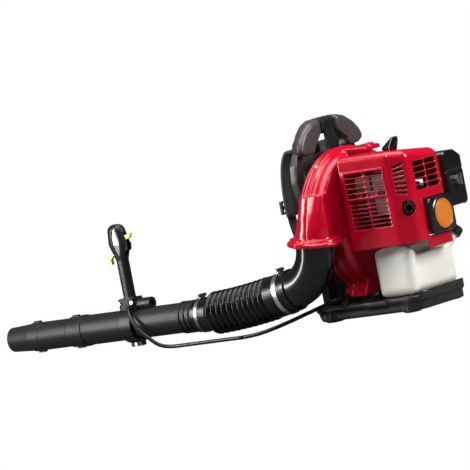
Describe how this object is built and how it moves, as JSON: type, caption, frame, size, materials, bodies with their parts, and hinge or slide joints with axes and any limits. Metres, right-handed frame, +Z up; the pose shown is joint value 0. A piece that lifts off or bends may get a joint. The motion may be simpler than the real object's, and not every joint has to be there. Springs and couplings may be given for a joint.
{
  "type": "backpack leaf blower",
  "caption": "Petrol leaf blower carried on the back: engine, fan case, backrest and base, with a bellows, a turning tube and a control handle.",
  "frame": {"origin": "centre of the flat sole under the base, on the ground", "axes": "+Z up; +Y the wearer's forward direction and the way the tube points; +X to the wearer's right, so the tube is on the -X side"},
  "size_m": [0.4005, 1.1568, 0.4615],
  "materials": {
    "red_plastic": "glossy moulded",
    "black_plastic": "satin moulded",
    "dark_plastic": "satin moulded",
    "grey_plastic": "satin",
    "rubber": "dull",
    "foam": "foam, dull",
    "webbing": "woven",
    "steel": "plated",
    "cast_alloy": "cast",
    "muffler_steel": "heat-stained",
    "orange_plastic": "glossy",
    "bulb": "translucent",
    "tank_plastic": "milky",
    "yellow_plastic": "glossy"
  },
  "bodies": {
    "machine": {"base_frame": "black_plastic", "backrest": "black_plastic", "carry_handle": "dark_plastic", "back_pad": "foam", "shoulder_strap_left": "webbing", "shoulder_strap_right": "webbing", "strap_buckles": "grey_plastic", "vibration_mounts": "rubber", "fan_case_front": "red_plastic", "fan_case_rear": "red_plastic", "inlet_guard": "black_plastic", "case_screws": "steel", "crankcase": "cast_alloy", "engine_cylinder": "cast_alloy", "muffler": "muffler_steel", "exhaust_outlet": "steel", "spark_plug": "steel", "engine_cover": "red_plastic", "starter_housing": "black_plastic", "starter_disc": "orange_plastic", "starter_rope": "webbing", "carburettor": "cast_alloy", "air_filter_base": "black_plastic", "air_filter_element": "foam", "fuel_tank": "tank_plastic", "fuel_lines": "rubber", "outlet_elbow": "black_plastic", "rear_hose_clamp": "steel", "throttle_cable_rear": "rubber", "cable_clip": "black_plastic"},
    "tube_hose": {"flexible_bellows": "rubber"},
    "tube": {"front_hose_clamp": "steel", "swivel_pipe": "dark_plastic", "handle_bracket": "black_plastic", "handle_screws": "steel", "handle_left_half": "black_plastic", "handle_right_half": "black_plastic", "handle_insert": "grey_plastic", "throttle_cable_front": "rubber"},
    "straight": {"straight_pipe": "dark_plastic"},
    "nozzle": {"nozzle": "black_plastic"},
    "trigger": {"throttle_trigger": "yellow_plastic"},
    "cruise": {"cruise_lever": "yellow_plastic"},
    "rotor": {"fan_impeller": "cast_alloy", "fan_nut": "steel", "crankshaft": "steel", "flywheel": "cast_alloy"},
    "grip": {"starter_grip": "black_plastic"},
    "pulley": {"starter_pulley": "dark_plastic"},
    "cap": {"fuel_cap": "black_plastic"},
    "choke": {"choke_lever": "black_plastic"},
    "primer": {"primer_bulb": "bulb"},
    "filter_cover": {"air_filter_cover": "black_plastic"},
    "filter_knob": {"filter_cover_knob": "steel"},
    "plug_cap": {"spark_plug_cap": "rubber"}
  },
  "joints": [
    {"name": "tube_swing", "type": "hinge", "parent": "machine", "child": "tube_hose", "pos_m": [-0.168, 0.2138, 0.0818], "axis": [0, 0, 1], "range_deg": [-15, 30], "stiffness_Nm_per_rad": 10, "deforming": ["flexible_bellows"]},
    {"name": "tube_lift", "type": "hinge", "parent": "tube_hose", "child": "tube", "pos_m": [-0.168, 0.3528, 0.0664], "axis": [1, 0, 0], "range_deg": [-6, 28], "stiffness_Nm_per_rad": 25, "springref_deg": 5.73, "deforming": ["throttle_cable_front"]},
    {"name": "straight_twist", "type": "hinge", "parent": "tube", "child": "straight", "pos_m": [-0.168, 0.781, 0.06417], "axis": [0, 1, 0], "range_deg": [-25, 0]},
    {"name": "nozzle_twist", "type": "hinge", "parent": "straight", "child": "nozzle", "pos_m": [-0.168, 0.897, 0.06417], "axis": [0, 1, 0], "range_deg": [-25, 0]},
    {"name": "trigger_squeeze", "type": "hinge", "parent": "tube", "child": "trigger", "pos_m": [-0.168, 0.62676, 0.23517], "axis": [1, 0, 0], "range_deg": [-18, 0], "stiffness_Nm_per_rad": 0.3, "springref_deg": 17.19},
    {"name": "cruise_turn", "type": "hinge", "parent": "tube", "child": "cruise", "pos_m": [-0.168, 0.60876, 0.26317], "axis": [1, 0, 0], "range_deg": [0, 35]},
    {"name": "crank_spin", "type": "hinge", "parent": "machine", "child": "rotor", "pos_m": [0, -0.02, 0.205], "axis": [0, 1, 0], "continuous": true},
    {"name": "starter_pull", "type": "slide", "parent": "machine", "child": "grip", "axis": [1, 0, 0], "range_m": [0, 0.7], "stiffness_N_per_m": 20, "springref_m": -0.3, "deforming": ["starter_rope"]},
    {"name": "pulley_turn", "type": "hinge", "parent": "machine", "child": "pulley", "pos_m": [0, -0.149, 0.205], "axis": [0, 1, 0], "range_deg": [-1440, 0]},
    {"name": "fuel_cap_turn", "type": "hinge", "parent": "machine", "child": "cap", "pos_m": [0.0827, -0.1164, 0.1346], "axis": [0.6364, -0.309, 0.7068], "range_deg": [0, 300]},
    {"name": "choke_turn", "type": "hinge", "parent": "machine", "child": "choke", "pos_m": [0.086, -0.08, 0.26], "axis": [1, 0, 0], "range_deg": [0, 40]},
    {"name": "primer_push", "type": "slide", "parent": "machine", "child": "primer", "axis": [-1, 0, 0], "range_m": [0, 0.003], "stiffness_N_per_m": 200},
    {"name": "filter_cover_off", "type": "slide", "parent": "machine", "child": "filter_cover", "axis": [0, -1, 0], "range_m": [0, 0.06]},
    {"name": "filter_knob_turn", "type": "hinge", "parent": "filter_cover", "child": "filter_knob", "pos_m": [0.09, -0.17, 0.2687], "axis": [0, 1, 0], "range_deg": [0, 720]},
    {"name": "plug_cap_off", "type": "slide", "parent": "machine", "child": "plug_cap", "axis": [0, 0, 1], "range_m": [0, 0.035]}
  ],
  "couplings": [
    {"joint": "pulley_turn", "follows": "starter_pull", "rad_per_m": -35.714}
  ]
}
